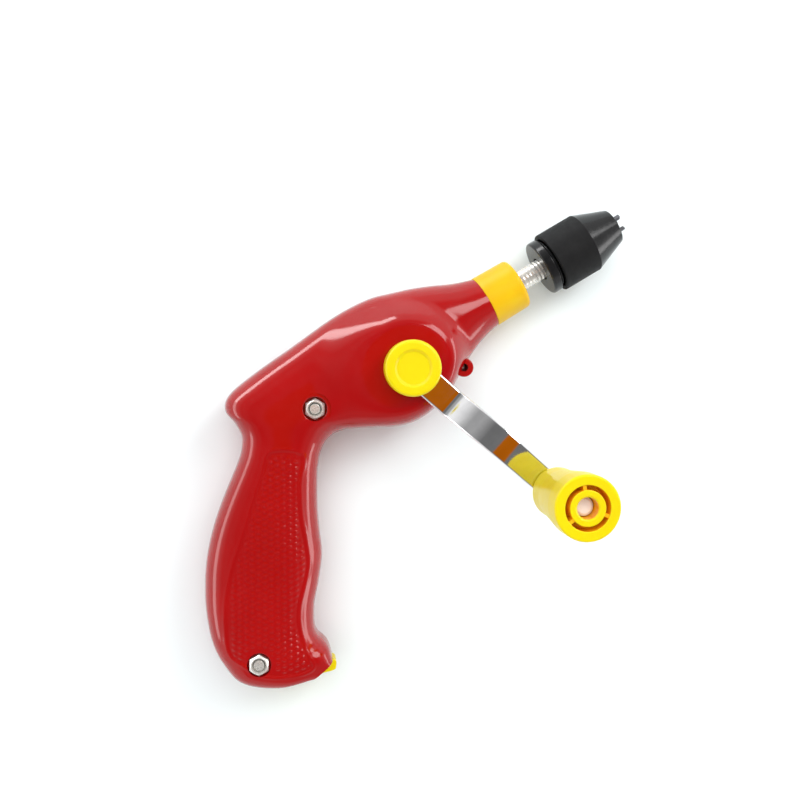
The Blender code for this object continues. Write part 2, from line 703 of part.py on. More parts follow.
def make_crank_arm():
    bm = bmesh.new()
    hub_side = [-EYE_R * math.cos(math.pi * i / 16) for i in range(1, 8)]
    hub_side += [EYE_R * math.sin(math.pi * i / 16) for i in range(0, 7)]
    straight = [12.0, 16.0, 18.7, 20.2, 21.7] + [24.0 + 4.0 * i for i in range(11)]
    far_side = [CRANK_RADIUS + TIP_R * math.sin(math.pi * i / 14) for i in range(0, 7)]
    rows = []
    for along in hub_side + straight + far_side:
        half = arm_half_width(along)
        z = ARM_LOW_Z + arm_lift(along)
        corners = [(-half, z), (half, z), (half, z + ARM_THICK), (-half, z + ARM_THICK)]
        rows.append([bm.verts.new((along, y, height)) for y, height in corners])
    for low, high in zip(rows, rows[1:]):
        for i in range(4):
            j = (i + 1) % 4
            bm.faces.new((low[i], low[j], high[j], high[i]))
    bm.faces.new(rows[0])
    bm.faces.new(rows[-1])
    bmesh.ops.recalc_face_normals(bm, faces=bm.faces)
    bmesh.ops.rotate(bm, verts=bm.verts, matrix=Matrix.Rotation(CRANK_ANGLE, 3, "Z"))
    arm = mesh_object("crank_arm", bm, CHROME)
    hub_hole = prism("arm_hub_hole", square(SOCKET, CRANK_ANGLE), 30.0, 45.0)
    pin_hole = rod("arm_pin_hole", 2.0, 45.0, 55.0, (*crank_place(), 0), (0, 0, 1))
    combine(arm, [hub_hole, pin_hole], "DIFFERENCE")
    return arm


def make_crank_fittings():
    centre = (0, 0, 0)
    axis = (0, 0, 1)
    tube("crank_washer", 3.3, 7.0, 36.8, 37.4, centre, axis, STEEL)
    stub = prism("crank_stub", square(STUB, CRANK_ANGLE), 25.5, 39.5, STEEL)
    tapped = rod("crank_stub_bore", 1.3, 30.0, 41.0, centre, axis, steps=16)
    combine(stub, [tapped], "DIFFERENCE")
    screw_profile = [
        (0, 42.2), (2.6, 42.2), (3.6, 41.4), (3.6, 40.0), (1.0, 40.0), (1.0, 31.0), (0, 31.0)
    ]
    turned("crank_screw", screw_profile, centre, axis, STEEL, 20)
    cap_profile = [
        (0, CAP_Z[1] - 0.9), (5.8, CAP_Z[1] - 0.9), (6.6, CAP_Z[1]), (9.3, CAP_Z[1]),
        (10.1, CAP_Z[1] - 0.5), (CAP_R, CAP_Z[1] - 1.4), (CAP_R, CAP_Z[0]), (8.4, CAP_Z[0]),
        (8.4, CAP_Z[0] + 4.0), (0, CAP_Z[0] + 4.0),
    ]
    turned("hub_cap", cap_profile, centre, axis, YELLOW, 28)


def make_knob():
    spot = (*crank_place(), 0)
    axis = (0, 0, 1)
    shoulder = KNOB_TOP_Z - 7.6
    profile = [
        (3.6, KNOB_TOP_Z - 0.4), (4.0, KNOB_TOP_Z), (10.4, KNOB_TOP_Z), (KNOB_R[1], KNOB_TOP_Z - 0.8),
        (KNOB_R[1], KNOB_TOP_Z - 9.0), (KNOB_R[0], KNOB_LOW_Z + 9.0), (KNOB_R[0], KNOB_LOW_Z + 0.8),
        (KNOB_R[0] - 0.8, KNOB_LOW_Z), (2.85, KNOB_LOW_Z), (2.85, shoulder), (3.6, shoulder),
    ]
    knob = turned("knob", profile, spot, axis, YELLOW, 32, ring=True)
    ring_cut = tube("knob_groove", 6.0, 7.6, KNOB_TOP_Z - 8.0, KNOB_TOP_Z + 1, spot, axis, steps=32)
    webs = []
    for index in range(3):
        angle = CRANK_ANGLE + TURN * (index / 3) + math.radians(20)
        web = block(f"knob_web_{index}", (5.0, -0.8, KNOB_TOP_Z - 8.4), (8.4, 0.8, KNOB_TOP_Z - 0.5))
        web.matrix_world = Matrix.Translation(Vector(spot) * MM) @ Matrix.Rotation(angle, 4, "Z")
        webs.append(web)
    combine(knob, [ring_cut], "DIFFERENCE")
    combine(knob, webs, "UNION")
    rivet = ARM_TOP_Z - ARM_THICK - CLEAR
    pin_profile = [
        (0, shoulder + 2.6), (2.6, shoulder + 2.6), (3.3, shoulder + 2.0), (3.3, shoulder + 0.3),
        (2.7, shoulder + 0.3), (2.7, ARM_TOP_Z + CLEAR), (1.7, ARM_TOP_Z + CLEAR), (1.7, rivet), (3.0, rivet),
        (2.4, rivet - 1.1), (0, rivet - 1.4),
    ]
    turned("knob_pin", pin_profile, spot, axis, STEEL, 20)
    tube("knob_washer", 2.7 + CLEAR, 6.0, ARM_TOP_Z + CLEAR, ARM_TOP_Z + 0.7, spot, axis, STEEL)


def round_looks():
    for obj in PARTS.objects:
        obj.data.shade_smooth()
        obj.data.set_sharp_from_angle(angle=math.radians(35))


make_shell("right_shell", 1, BOSS_TOP_Z - MID_Z)
make_shell("left_shell", -1, MID_Z)
make_collar()
make_storage_door()
make_bolt("rear_bolt", REAR_BOLT)
make_bolt("butt_bolt", BUTT_BOLT)
make_nut("rear_nut", REAR_BOLT)
make_nut("butt_nut", BUTT_BOLT)
make_lug_screw()
make_drive_shaft()
make_gears()
make_layshaft()
make_bushes()
make_spindle()
make_chuck()
make_crank_arm()
make_crank_fittings()
make_knob()
round_looks()
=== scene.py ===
"""Looks of the hand-cranked toy pistol drill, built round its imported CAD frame.

Shapes are worked out in millimetres, in the frame's axes, and stored in metres. +X runs along the spindle
towards the chuck, +Y towards the top of the drill and +Z towards the crank.
"""

import math

import bmesh
import bpy
import numpy as np
from mathutils import Matrix, Vector


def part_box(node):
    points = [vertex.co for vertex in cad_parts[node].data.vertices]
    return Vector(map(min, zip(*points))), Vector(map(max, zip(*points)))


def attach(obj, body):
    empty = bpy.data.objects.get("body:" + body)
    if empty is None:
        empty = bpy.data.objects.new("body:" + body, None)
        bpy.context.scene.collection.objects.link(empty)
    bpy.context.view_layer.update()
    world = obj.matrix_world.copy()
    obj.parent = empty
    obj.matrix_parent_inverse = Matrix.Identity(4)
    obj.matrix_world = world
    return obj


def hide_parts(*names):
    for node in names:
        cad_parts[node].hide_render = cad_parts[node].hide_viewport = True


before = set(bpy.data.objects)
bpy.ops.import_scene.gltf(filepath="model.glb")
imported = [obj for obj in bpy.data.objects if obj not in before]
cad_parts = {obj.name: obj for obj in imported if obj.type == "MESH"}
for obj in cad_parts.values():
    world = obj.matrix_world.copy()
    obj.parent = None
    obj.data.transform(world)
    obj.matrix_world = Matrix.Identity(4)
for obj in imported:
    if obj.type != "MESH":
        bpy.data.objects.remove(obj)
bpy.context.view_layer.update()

MM = 0.001
TURN = 2 * math.pi


# ---- Places, taken from the frame ----


def low(node):
    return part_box(node)[0] / MM


def high(node):
    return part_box(node)[1] / MM


def middle(node):
    return (low(node) + high(node)) / 2


MID_Z = middle("spindle").z  # plane where the two shells part
AXIS_Y = middle("spindle").y
HUB = (0.0, 0.0, 0.0)
NOSE = (0.0, AXIS_Y, MID_Z)
ALONG_X = (1, 0, 0)
ALONG_Z = (0, 0, 1)
REAR_BOLT = middle("rear_bolt").xy
BUTT_BOLT = middle("butt_bolt").xy
LUG = middle("lug_screw").xy
LAY = middle("layshaft").xy
KNOB = middle("knob").xy
CRANK_RADIUS = KNOB.length
CRANK_ANGLE = math.atan2(KNOB.y, KNOB.x)

# ---- Driving dimensions, in millimetres ----

PART_GAP = 0.15  # half the gap between the shells
WALL = 2.3
BOSS_TOP = high("right_shell").z - MID_Z
BOSS_R = 15.5
BOSS_FOOT_R = 26.0
BOSS_SPREAD = 12.0  # how much farther the foot of the boss reaches towards the rear
NUT_SEAT = low("rear_nut").z - MID_Z - 0.3
HEAD_SEAT = 13.6  # depth of the bolt heads' seats below the parting plane
RECESS_R = 4.45
RECESS_ROUND = 0.45  # rounding of each recess's mouth
LUG_R = 3.6
LUG_RIGHT = 8.0  # how far the lug stands up from the parting plane on each side
LUG_LEFT = 5.5
DOOR_PIVOT = (-105.4, -74.7)
DOOR_HALF_WIDTH = 7.7
TAB_HALF_WIDTH = 4.5
SLOT_HALF_WIDTH = 8.0
POST_R = 6.0  # of the two posts that the bolts pass through
BOLT_HOLE_R = 2.3
HUB_BORE_R = 6.3
SHELL_FACE = 14.9  # height of the shell's flat side at the rear bolt, above the parting plane
BUTT_DROP = 0.75  # how much lower the shell is at the butt bolt
NUT_ACROSS = 7.0  # across its flats
NUT_TURN = math.radians(-2)
THREAD_PITCH = 1.5
THREAD_DEPTH = 0.13
SPINDLE_R = 4.0
CONE_BASE = 85.5  # where the chuck's cone starts

# The body's outline as cross lines: front edge, back edge, half thickness and squareness of each section
STATIONS = [
    ((39.7, -4.5), (39.7, 15.7), 10.1, 2.0),
    ((35.0, -5.4), (32.2, 18.2), 11.2, 2.05),
    ((29.7, -7.0), (24.3, 21.8), 12.5, 2.15),
    ((24.0, -9.4), (17.1, 24.7), 13.5, 2.3),
    ((16.5, -13.2), (9.6, 27.1), 14.2, 2.5),
    ((11.0, -16.1), (2.1, 29.3), 14.7, 2.7),
    ((5.3, -18.2), (-6.4, 30.2), 15.0, 2.8),
    ((-0.5, -19.4), (-15.4, 30.2), 15.0, 3.0),
    ((-6.0, -19.7), (-24.7, 29.4), 15.0, 3.0),
    ((-11.0, -18.9), (-34.2, 28.5), 15.0, 3.0),
    ((-16.0, -16.9), (-43.6, 27.8), 15.0, 3.0),
    ((-21.0, -14.1), (-53.0, 26.9), 15.0, 3.0),
    ((-27.0, -10.9), (-61.0, 25.6), 15.0, 3.0),
    ((-32.0, -8.6), (-65.3, 23.6), 15.0, 2.9),
    ((-36.8, -7.9), (-67.3, 20.0), 15.0, 2.8),
    ((-41.0, -9.0), (-66.5, 15.0), 14.9, 2.8),
    ((-44.3, -11.3), (-66.8, 9.5), 14.8, 2.8),
    ((-47.0, -14.3), (-69.6, 5.0), 14.7, 2.8),
    ((-49.8, -18.1), (-74.0, 1.0), 14.6, 2.8),
    ((-56.0, -28.6), (-86.5, -8.5), 14.5, 2.8),
    ((-60.0, -36.8), (-95.3, -16.3), 14.5, 2.8),
    ((-63.8, -45.0), (-102.6, -24.5), 14.5, 2.8),
    ((-70.2, -53.3), (-108.3, -33.0), 14.5, 2.8),
    ((-76.3, -60.3), (-113.0, -42.0), 14.5, 2.9),
    ((-80.2, -67.0), (-116.5, -52.0), 14.5, 3.0),
    ((-81.0, -71.0), (-117.3, -61.2), 14.5, 3.0),
    ((-80.2, -74.2), (-115.0, -71.0), 14.4, 3.2),
    ((-79.9, -77.2), (-104.4, -79.5), 13.7, 3.6),
    ((-80.9, -81.5), (-92.0, -83.4), 12.2, 4.0),
]
GRIP_START = 17  # the station where the grip, and its finer mesh, starts
ROW_SPACING = (0.85, 0.42)  # along the body, and along the grip
COLUMNS = 120

# The textured panel on each side of the grip
PANEL = [
    (-60.2, -0.6), (-67.0, -6.0), (-76.1, -14.0), (-85.0, -22.2), (-94.1, -30.2), (-102.0, -38.9),
    (-108.2, -48.7), (-112.0, -57.6), (-109.5, -64.0), (-104.5, -72.0), (-95.0, -77.5), (-88.0, -78.6),
    (-86.9, -72.0), (-84.3, -62.7), (-80.4, -56.1), (-74.8, -50.5), (-69.6, -44.6), (-66.4, -37.6),
    (-62.2, -26.7), (-56.7, -16.5), (-50.5, -7.6),
]
GRIP_UP = Vector((0.508, 0.861))  # up the grip, along the columns of bumps
BUMP_PITCH = (2.33, 2.18)  # across and up the grip
BUMP_SIZE = (1.05, 0.72)  # half width and half height of a bump's foot
BUMP_HEIGHT = 0.34
PANEL_DEPTH = 0.35
PANEL_EDGE = 0.9  # width of the slope round the panel
RIM_HEIGHT = 0.12  # a low bead round the panel


# ---- Mesh helpers ----


def new_object(name, verts, faces):
    mesh = bpy.data.meshes.new(name)
    mesh.from_pydata([tuple(Vector(v) * MM) for v in verts], [], faces)
    obj = bpy.data.objects.new(name, mesh)
    bpy.context.scene.collection.objects.link(obj)
    return obj


def outward(obj):
    """Turns every face outward, on a closed mesh."""
    bm = bmesh.new()
    bm.from_mesh(obj.data)
    bmesh.ops.recalc_face_normals(bm, faces=bm.faces)
    bm.to_mesh(obj.data)
    bm.free()
    return obj


def aimed(place, axis):
    """The matrix that takes a point from an axis's own frame to the row frame, in millimetres."""
    turn = Vector((0, 0, 1)).rotation_difference(Vector(axis))
    return Matrix.Translation(Vector(place)) @ turn.to_matrix().to_4x4()


def filleted(corners, ring, steps=5):
    """(radius, height) points of a profile whose corners (radius, height, fillet) are rounded."""
    points = []
    for index, (radius, height, fillet) in enumerate(corners):
        here = Vector((radius, height))
        inside = ring or 0 < index < len(corners) - 1
        if not fillet or not inside:
            points.append(here)
            continue
        back = Vector(corners[index - 1][:2]) - here
        ahead = Vector(corners[(index + 1) % len(corners)][:2]) - here
        half = back.angle(ahead) / 2
        cut = min(fillet / math.tan(half), 0.48 * back.length, 0.48 * ahead.length)
        start, end = here + back.normalized() * cut, here + ahead.normalized() * cut
        for step in range(steps + 1):
            t = step / steps
            bulge = 2 * t * (1 - t)
            points.append(start * (1 - t) ** 2 + here * bulge + end * t**2)
    return points


def lathe(name, corners, place, axis, steps=96, ring=False):
    """A turned solid. The corners run down the outer side; an open profile starts and ends on the axis."""
    points = filleted(corners, ring)
    to_row = aimed(place, axis)
    verts, rows = [], []
    for radius, height in points:
        if radius < 1e-6:
            rows.append([len(verts)] * steps)
            verts.append(to_row @ Vector((0, 0, height)))
            continue
        rows.append([len(verts) + i for i in range(steps)])
        for i in range(steps):
            angle = TURN * i / steps
            spot = Vector((radius * math.cos(angle), radius * math.sin(angle), height))
            verts.append(to_row @ spot)
    pairs = list(zip(rows, rows[1:]))
    if ring:
        pairs.append((rows[-1], rows[0]))
    faces = []
    for first, second in pairs:
        for i in range(steps):
            j = (i + 1) % steps
            loop = [first[i], first[j], second[j], second[i]]
            face = list(dict.fromkeys(loop))
            if len(face) > 2:
                faces.append(face)
    return outward(new_object(name, verts, faces))


def rod(name, radius, bottom, top, place, axis, steps=64, round_off=0.0):
    corners = [(0, top, 0), (radius, top, round_off), (radius, bottom, round_off), (0, bottom, 0)]
    return lathe(name, corners, place, axis, steps)


def tube(name, inner, outer, bottom, top, place, axis, steps=64, round_off=0.0):
    corners = [
        (inner, top, round_off), (outer, top, round_off),
        (outer, bottom, round_off), (inner, bottom, round_off),
    ]
    return lathe(name, corners, place, axis, steps, ring=True)


def prism(name, outline, bottom, top, place=(0, 0, 0), axis=ALONG_Z):
    to_row = aimed(place, axis)
    count = len(outline)
    verts = [to_row @ Vector((x, y, z)) for z in (bottom, top) for x, y in outline]
    faces = [[i, (i + 1) % count, count + (i + 1) % count, count + i] for i in range(count)]
    faces += [list(range(count))[::-1], list(range(count, 2 * count))]
    return outward(new_object(name, verts, faces))


def box(name, corner, opposite):
    (x0, y0, z0), (x1, y1, z1) = corner, opposite
    return prism(name, [(x0, y0), (x1, y0), (x1, y1), (x0, y1)], z0, z1)


def settled(obj):
    """Bakes an object's modifiers into its mesh."""
    bpy.context.view_layer.update()
    evaluated = obj.evaluated_get(bpy.context.evaluated_depsgraph_get())
    mesh = bpy.data.meshes.new_from_object(evaluated)
    obj.modifiers.clear()
    obj.data = mesh
    return obj


def combine(obj, others, operation, solver="MANIFOLD"):
    for other in others:
        step = obj.modifiers.new(other.name, "BOOLEAN")
        step.operation = operation
        step.solver = solver
        step.object = other
    settled(obj)
    for other in others:
        bpy.data.objects.remove(other)
    return obj


def soften(obj, width, segments=3, angle=40):
    """Rounds the sharp edges of a mesh."""
    bevel = obj.modifiers.new("edges", "BEVEL")
    bevel.width = width * MM
    bevel.segments = segments
    bevel.limit_method = "ANGLE"
    bevel.angle_limit = math.radians(angle)
    return settled(obj)


def smooth(obj, angle=35):
    obj.data.shade_smooth()
    obj.data.set_sharp_from_angle(angle=math.radians(angle))
    weigh = obj.modifiers.new("flat faces stay flat", "WEIGHTED_NORMAL")
    weigh.keep_sharp = True
    return obj


def finished(obj, nodes, body, materials, angle=35):
    """Names the CAD nodes that a piece stands for, its body and its materials."""
    smooth(obj, angle)
    obj.data.materials.clear()
    for material in materials if isinstance(materials, list) else [materials]:
        obj.data.materials.append(material)
    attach(obj, body)
    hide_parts(*nodes)
    return obj


def circle(radius, count, start=0.0):
    return [
        (radius * math.cos(start + TURN * i / count), radius * math.sin(start + TURN * i / count))
        for i in range(count)
    ]


# ---- Materials ----


def fill_ramp(ramp, stops):
    """Gives a colour ramp node its (position, colour) stops."""
    elements = ramp.color_ramp.elements
    while len(elements) < len(stops):
        elements.new(0.5)
    for element, (position, colour) in zip(elements, stops):
        element.position = position
        element.color = (*colour, 1.0)


class Surface:
    """A Principled material that is put together node by node, in the piece's own metres."""

    def __init__(self, name, **settings):
        self.material = bpy.data.materials.new(name)
        self.material.use_nodes = True
        self.nodes = self.material.node_tree.nodes
        self.links = self.material.node_tree.links
        self.shader = self.nodes["Principled BSDF"]
        for socket, value in settings.items():
            self.shader.inputs[socket.replace("_", " ")].default_value = value
        self.place = self.nodes.new("ShaderNodeTexCoord").outputs["Object"]

    def noise(self, per_metre, detail=3.0):
        noise = self.nodes.new("ShaderNodeTexNoise")
        noise.inputs["Scale"].default_value = per_metre
        noise.inputs["Detail"].default_value = detail
        self.links.new(self.place, noise.inputs["Vector"])
        return noise.outputs["Fac"]

    def ramp(self, factor, stops):
        ramp = self.nodes.new("ShaderNodeValToRGB")
        fill_ramp(ramp, stops)
        self.links.new(factor, ramp.inputs["Fac"])
        return ramp.outputs["Color"]

    def spread(self, factor, lowest, highest):
        spread = self.nodes.new("ShaderNodeMapRange")
        spread.inputs["From Min"].default_value = 0.3
        spread.inputs["From Max"].default_value = 0.7
        spread.inputs["To Min"].default_value = lowest
        spread.inputs["To Max"].default_value = highest
        self.links.new(factor, spread.inputs["Value"])
        return spread.outputs["Result"]

    def colour(self, factor, stops):
        self.links.new(self.ramp(factor, stops), self.shader.inputs["Base Color"])
        return self

    def roughness(self, factor, lowest, highest):
        self.links.new(self.spread(factor, lowest, highest), self.shader.inputs["Roughness"])
        return self

    def bump(self, height, distance, strength=1.0):
        bump = self.nodes.new("ShaderNodeBump")
        bump.inputs["Distance"].default_value = distance * MM
        bump.inputs["Strength"].default_value = strength
        self.links.new(height, bump.inputs["Height"])
        self.links.new(bump.outputs["Normal"], self.shader.inputs["Normal"])
        return self


def red_gloss():
    surface = Surface("red_gloss_plastic", IOR=1.48)
    surface.colour(
        surface.noise(45, 2.0), [(0.3, (0.345, 0.0005, 0.0009)), (0.7, (0.385, 0.0009, 0.0013))]
    )
    surface.roughness(surface.noise(260), 0.1, 0.14)
    return surface.bump(surface.noise(420, 2.0), 0.02, 0.5).material


def yellow_satin(name, dark, light, roughness):
    surface = Surface(name, IOR=1.46, Specular_IOR_Level=0.3, Subsurface_Weight=0.35, Subsurface_Scale=0.004)
    surface.shader.inputs["Subsurface Radius"].default_value = (1.0, 0.5, 0.05)
    surface.colour(surface.noise(70, 2.0), [(0.3, dark), (0.7, light)])
    surface.roughness(surface.noise(500), roughness - 0.04, roughness + 0.04)
    return surface.bump(surface.noise(900, 2.0), 0.02, 0.4).material


def black_plastic(name, roughness, grain, specular):
    surface = Surface(name, IOR=1.5, Specular_IOR_Level=specular)
    surface.colour(surface.noise(160), [(0.3, (0.007, 0.007, 0.0075)), (0.7, (0.011, 0.011, 0.0115))])
    surface.roughness(surface.noise(700), roughness - 0.05, roughness + 0.05)
    return surface.bump(surface.noise(2600, 3.0), grain, 0.6).material


def metal(name, dark, light, roughness, grain=0.012, metallic=1.0):
    surface = Surface(name, Metallic=metallic)
    surface.colour(surface.noise(220), [(0.3, dark), (0.7, light)])
    surface.roughness(surface.noise(900, 4.0), roughness * 0.75, roughness * 1.3)
    return surface.bump(surface.noise(1500, 3.0), grain, 0.5).material


def nylon():
    surface = Surface("white_nylon", IOR=1.53, Subsurface_Weight=0.2, Subsurface_Scale=0.002)
    surface.colour(surface.noise(90), [(0.3, (0.74, 0.74, 0.7)), (0.7, (0.84, 0.83, 0.8))])
    surface.roughness(surface.noise(500), 0.4, 0.5)
    return surface.bump(surface.noise(1200), 0.015, 0.4).material


RED = red_gloss()
YELLOW = yellow_satin("yellow_satin_plastic", (0.78, 0.62, 0.001), (0.82, 0.67, 0.002), 0.34)
# Painted shade: a darker orange yellow that stands for the glowing shade down in the knob's groove and bore
RECESS_SHADE_YELLOW = yellow_satin("shaded_yellow_plastic", (0.95, 0.42, 0.004), (0.97, 0.48, 0.006), 0.4)
GOLD = yellow_satin("collar_yellow_plastic", (0.8, 0.45, 0.002), (0.84, 0.51, 0.003), 0.42)
MATT_BLACK = black_plastic("matt_black_plastic", 0.62, 0.03, 0.18)
SATIN_BLACK = black_plastic("satin_black_plastic", 0.17, 0.006, 0.35)
CHROME = metal("chrome", (0.82, 0.82, 0.83), (0.9, 0.9, 0.91), 0.05, 0.006)
STEEL = metal("bright_steel", (0.72, 0.7, 0.66), (0.8, 0.78, 0.74), 0.26, metallic=0.6)
DARK_STEEL = metal("hardened_steel", (0.09, 0.09, 0.1), (0.14, 0.14, 0.15), 0.35, metallic=0.6)
PALE_STEEL = metal("plated_steel", (0.8, 0.88, 0.9), (0.88, 0.94, 0.95), 0.35, metallic=0.1)
BRASS = metal("brass", (0.68, 0.47, 0.16), (0.78, 0.56, 0.22), 0.3)
NYLON = nylon()


# ---- Shells ----


def spline(p0, p1, p2, p3, t):
    """The point a fraction t of the way from p1 to p2 on a smooth curve through all four."""
    return 0.5 * (
        2 * p1 + (p2 - p0) * t + (2 * p0 - 5 * p1 + 4 * p2 - p3) * t**2 + (3 * p1 - p0 - 3 * p2 + p3) * t**3
    )


def between_stations(spot):
    """Smooth values between the stations: front x and y, back x and y, half thickness, squareness."""
    table = np.array([(*front, *back, thick, square) for front, back, thick, square in STATIONS])
    index = min(int(spot), len(table) - 2)
    t = spot - index
    p1, p2 = table[index], table[index + 1]
    p0 = table[index - 1] if index else 2 * p1 - p2
    p3 = table[index + 2] if index + 2 < len(table) else 2 * p2 - p1
    return spline(p0, p1, p2, p3, t)


def row_spots(coarseness):
    """Places along the stations, close together where the grip's texture needs them."""
    spots = []
    for index in range(len(STATIONS) - 1):
        first, second = STATIONS[index], STATIONS[index + 1]
        run = max((Vector(first[k]) - Vector(second[k])).length for k in (0, 1))
        spacing = ROW_SPACING[index >= GRIP_START] * coarseness
        count = max(2, math.ceil(run / spacing))
        spots += [index + i / count for i in range(count)]
    return spots + [len(STATIONS) - 1]


def ease(value):
    value = np.clip(value, 0.0, 1.0)
    return value * value * (3 - 2 * value)


def raised(x, y):
    """How much of the hub boss's height the surface has here, from 0 to 1."""
    away = np.hypot(x, y)
    foot = BOSS_FOOT_R + BOSS_SPREAD * np.maximum(-x, 0) / np.maximum(away, BOSS_R)
    return ease((foot - away) / (foot - BOSS_R))


def section(spot, side, inset, boss_height, columns):
    """One cross section as evenly spaced points from the front edge over to the back edge."""
    fx, fy, bx, by, thick, square = between_stations(spot)
    front, back = np.array((fx, fy)), np.array((bx, by))
    half = (back - front) / 2
    reach = np.linalg.norm(half)
    angle = np.linspace(0, math.pi, 361)
    across = np.cos(angle)
    shift = -np.sign(across) * np.abs(across) ** (2 / square) * (1 - inset / reach)
    spots = (front + back) / 2 + shift[:, None] * half
    height = (thick - inset) * np.abs(np.sin(angle)) ** (2 / square)
    level = raised(spots[:, 0], spots[:, 1]) * ease(height / thick)
    height = height * (1 - level) + (boss_height - inset) * level
    walked = np.hypot(np.diff(shift) * reach, np.diff(height)).cumsum()
    walked = np.concatenate(([0.0], walked))
    even = np.linspace(0, walked[-1], columns + 1)
    at = [np.interp(even, walked, values) for values in (spots[:, 0], spots[:, 1], height)]
    return np.stack((at[0], at[1], MID_Z + side * at[2]), axis=1)


def closed_curve(points, steps):
    """A smooth closed curve through the points."""
    count = len(points)
    curve = []
    for i in range(count):
        around = [np.array(points[(i + k) % count]) for k in (-1, 0, 1, 2)]
        curve += [spline(*around, t) for t in np.arange(steps) / steps]
    return np.array(curve)


def depth_inside(x, y, outline):
    """How far inside a closed outline each point is, and below 0 where it is outside."""
    nearest = np.full(x.shape, 1e9)
    inside = np.zeros(x.shape, bool)
    for (ax, ay), (bx, by) in zip(outline, np.roll(outline, -1, axis=0)):
        dx, dy = bx - ax, by - ay
        t = np.clip(((x - ax) * dx + (y - ay) * dy) / (dx * dx + dy * dy), 0, 1)
        nearest = np.minimum(nearest, np.hypot(x - ax - t * dx, y - ay - t * dy))
        if ay != by:
            crosses = ((ay > y) != (by > y)) & (x < ax + (y - ay) / (by - ay) * dx)
            inside ^= crosses
    return np.where(inside, nearest, -nearest)


def grip_relief(x, y):
    """Height of the moulded panel against the smooth grip: a sunk field with columns of staggered bumps."""
    depth = depth_inside(x, y, closed_curve(PANEL, 6))
    up = x * GRIP_UP.x + y * GRIP_UP.y
    across = x * GRIP_UP.y - y * GRIP_UP.x
    in_column = np.round(across / BUMP_PITCH[0])
    from_middle = across - in_column * BUMP_PITCH[0]
    staggered = up / BUMP_PITCH[1] + 0.5 * (in_column % 2)
    from_bump = (staggered - np.round(staggered)) * BUMP_PITCH[1]
    reach = np.hypot(from_middle / BUMP_SIZE[0], from_bump / BUMP_SIZE[1])
    bumps = BUMP_HEIGHT * ease(1.1 * (1.0 - reach)) * ease((depth - 1.2) / 0.6)
    from_bolt = np.hypot(x - BUTT_BOLT.x, y - BUTT_BOLT.y)
    bumps = bumps * ease((from_bolt - RECESS_R - 1.2) / 1.0)
    rim = RIM_HEIGHT * ease(1.0 - np.abs(depth + 0.3) / 0.9)
    return bumps + rim - PANEL_DEPTH * ease(depth / PANEL_EDGE)


def body_solid(name, side, inset, boss_height, coarseness, relief=False):
    """One half of the body as a closed solid, which runs a little past the parting plane."""
    columns = int(COLUMNS / coarseness)
    rows = np.array([section(s, side, inset, boss_height, columns) for s in row_spots(coarseness)])
    if relief:
        normal = np.cross(np.gradient(rows, axis=1), np.gradient(rows, axis=0))
        normal /= np.linalg.norm(normal, axis=2, keepdims=True)
        normal *= np.sign(normal[:, columns // 2, 2] * side)[:, None, None]
        rows += normal * grip_relief(rows[..., 0], rows[..., 1])[..., None]
    past = np.array((0, 0, MID_Z - side * 1.5))
    ends = np.stack((rows[:, 0], rows[:, -1])) * (1, 1, 0) + past
    loops = np.concatenate((ends[0][:, None], rows, ends[1][:, None]), axis=1)
    count, width = loops.shape[:2]
    faces = []
    for i in range(count - 1):
        for j in range(width):
            k = (j + 1) % width
            faces.append((i * width + j, i * width + k, (i + 1) * width + k, (i + 1) * width + j))
    faces += [list(range(width)), list(range((count - 1) * width, count * width))]
    return outward(new_object(name, loops.reshape(-1, 3), faces))


def column(name, spot, radius, bottom, top, side, steps=48, round_top=0.0):
    """A post or cutter along Z. Its heights are measured from the parting plane."""
    corners = [(0, top, 0), (radius, top, round_top), (radius, bottom, 0), (0, bottom, 0)]
    return lathe(name, corners, (*spot, MID_Z), (0, 0, side), steps)


def recess(name, spot, floor, surface, side):
    """A round recess with a rounded mouth, as a cutter."""
    mouth = [
        (RECESS_R + RECESS_ROUND * (1 - math.cos(a)), surface - RECESS_ROUND * (1 - math.sin(a)), 0)
        for a in (math.pi / 2, math.pi / 3, math.pi / 6, 0)
    ]
    flare = mouth[0][0] + 1.0
    corners = [(0, surface + 4, 0), (flare, surface + 4, 0), (flare, surface + 0.02, 0)]
    corners += [*mouth, (RECESS_R, floor, 0.2), (0, floor, 0)]
    return lathe(name, corners, (*spot, MID_Z), (0, 0, side), 72)


def door_slot(name):
    outline = [
        (-111.4, -77.5), (-115.0, -90.0), (-77.0, -90.0), (-77.0, -80.6), (-81.8, -80.5),
        (-86.0, -80.4), (-93.0, -79.9), (-98.8, -78.2), (-102.6, -76.3), (-103.0, -74.0),
        (-104.2, -72.4), (-106.0, -72.2), (-107.9, -73.0), (-108.9, -74.4),
    ]
    return prism(name, outline, MID_Z - SLOT_HALF_WIDTH, MID_Z + SLOT_HALF_WIDTH)


